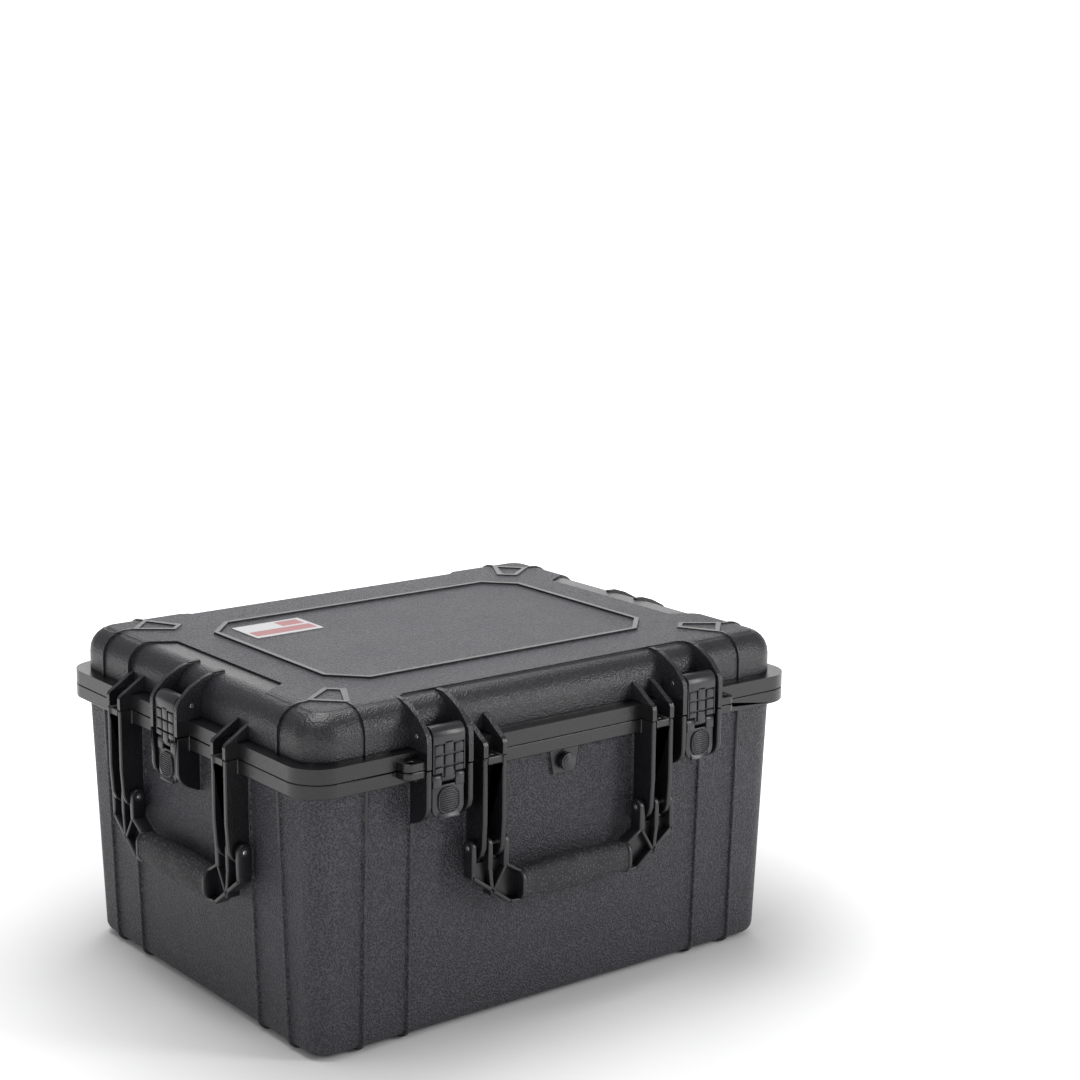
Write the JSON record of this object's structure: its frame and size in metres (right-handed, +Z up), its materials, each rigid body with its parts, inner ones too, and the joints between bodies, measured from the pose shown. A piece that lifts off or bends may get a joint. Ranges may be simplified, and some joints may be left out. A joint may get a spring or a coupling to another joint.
{
  "type": "hard equipment case",
  "caption": "Ribbed hard equipment case with a hinged foam-lined lid, toggle latches, folding handles and a purge valve.",
  "frame": {"origin": "centre of the case's footprint, on the underside of its feet", "axes": "+X along the case to the right as seen from the front, the front faces -Y, +Z up"},
  "size_m": [0.658, 0.532, 0.354],
  "materials": {
    "case_plastic": "matte",
    "latch_plastic": "satin",
    "handle_plastic": "satin",
    "vent_plastic": "satin",
    "grip_rubber": "matte",
    "seal_rubber": "matte",
    "foam_grey": "matte",
    "foam_dark": "matte",
    "stainless_pin": "satin",
    "label": "satin"
  },
  "bodies": {
    "base": {"base_shell": "case_plastic", "base_padlock_lugs": "case_plastic", "foam_bottom_pad": "foam_dark", "foam_lower_layer": "foam_grey", "foam_upper_layer": "foam_grey", "hinge_pin_left": "stainless_pin", "hinge_pin_right": "stainless_pin", "vent_body": "vent_plastic", "vent_seal": "seal_rubber", "vent_nut": "vent_plastic", "front_handle_pins": "stainless_pin", "left_handle_pins": "stainless_pin", "right_handle_pins": "stainless_pin"},
    "lid": {"lid_shell": "case_plastic", "lid_padlock_lugs": "case_plastic", "lid_gasket": "seal_rubber", "label_plate": "label", "lid_foam": "foam_grey", "front_left_latch_pin": "stainless_pin", "front_right_latch_pin": "stainless_pin", "left_latch_pin": "stainless_pin", "right_latch_pin": "stainless_pin"},
    "vent_knob": {"vent_knob": "vent_plastic"},
    "front_left_link": {"front_left_latch_link": "latch_plastic", "front_left_lever_pin": "stainless_pin"},
    "front_left_lever": {"front_left_latch_lever": "latch_plastic"},
    "front_right_link": {"front_right_latch_link": "latch_plastic", "front_right_lever_pin": "stainless_pin"},
    "front_right_lever": {"front_right_latch_lever": "latch_plastic"},
    "left_link": {"left_latch_link": "latch_plastic", "left_lever_pin": "stainless_pin"},
    "left_lever": {"left_latch_lever": "latch_plastic"},
    "right_link": {"right_latch_link": "latch_plastic", "right_lever_pin": "stainless_pin"},
    "right_lever": {"right_latch_lever": "latch_plastic"},
    "front_handle": {"front_handle_frame": "handle_plastic", "front_handle_grip": "grip_rubber"},
    "left_handle": {"left_handle_frame": "handle_plastic", "left_handle_grip": "grip_rubber"},
    "right_handle": {"right_handle_frame": "handle_plastic", "right_handle_grip": "grip_rubber"}
  },
  "joints": [
    {"name": "lid_hinge", "type": "hinge", "parent": "base", "child": "lid", "pos_m": [0, 0.258, 0.2895], "axis": [-1, 0, 0], "range_deg": [0, 100]},
    {"name": "vent_knob_turn", "type": "hinge", "parent": "base", "child": "vent_knob", "pos_m": [0, -0.2385, 0.259], "axis": [0, -1, 0], "range_deg": [0, 180]},
    {"name": "front_left_latch_link_hinge", "type": "hinge", "parent": "lid", "child": "front_left_link", "pos_m": [-0.163, -0.248, 0.32], "axis": [-1, 0, 0], "range_deg": [0, 100]},
    {"name": "front_left_latch_lever_hinge", "type": "hinge", "parent": "front_left_link", "child": "front_left_lever", "pos_m": [-0.163, -0.258, 0.2775], "axis": [-1, 0, 0], "range_deg": [0, 40]},
    {"name": "front_right_latch_link_hinge", "type": "hinge", "parent": "lid", "child": "front_right_link", "pos_m": [0.163, -0.248, 0.32], "axis": [-1, 0, 0], "range_deg": [0, 100]},
    {"name": "front_right_latch_lever_hinge", "type": "hinge", "parent": "front_right_link", "child": "front_right_lever", "pos_m": [0.163, -0.258, 0.2775], "axis": [-1, 0, 0], "range_deg": [0, 40]},
    {"name": "left_latch_link_hinge", "type": "hinge", "parent": "lid", "child": "left_link", "pos_m": [-0.311, 0, 0.32], "axis": [0, 1, 0], "range_deg": [0, 100]},
    {"name": "left_latch_lever_hinge", "type": "hinge", "parent": "left_link", "child": "left_lever", "pos_m": [-0.321, 0, 0.2775], "axis": [0, 1, 0], "range_deg": [0, 40]},
    {"name": "right_latch_link_hinge", "type": "hinge", "parent": "lid", "child": "right_link", "pos_m": [0.311, 0, 0.32], "axis": [0, -1, 0], "range_deg": [0, 100]},
    {"name": "right_latch_lever_hinge", "type": "hinge", "parent": "right_link", "child": "right_lever", "pos_m": [0.321, 0, 0.2775], "axis": [0, -1, 0], "range_deg": [0, 40]},
    {"name": "front_handle_hinge", "type": "hinge", "parent": "base", "child": "front_handle", "pos_m": [0, -0.251, 0.1955], "axis": [-1, 0, 0], "range_deg": [0, 95]},
    {"name": "left_handle_hinge", "type": "hinge", "parent": "base", "child": "left_handle", "pos_m": [-0.314, 0, 0.1955], "axis": [0, 1, 0], "range_deg": [0, 95]},
    {"name": "right_handle_hinge", "type": "hinge", "parent": "base", "child": "right_handle", "pos_m": [0.314, 0, 0.1955], "axis": [0, -1, 0], "range_deg": [0, 95]}
  ]
}
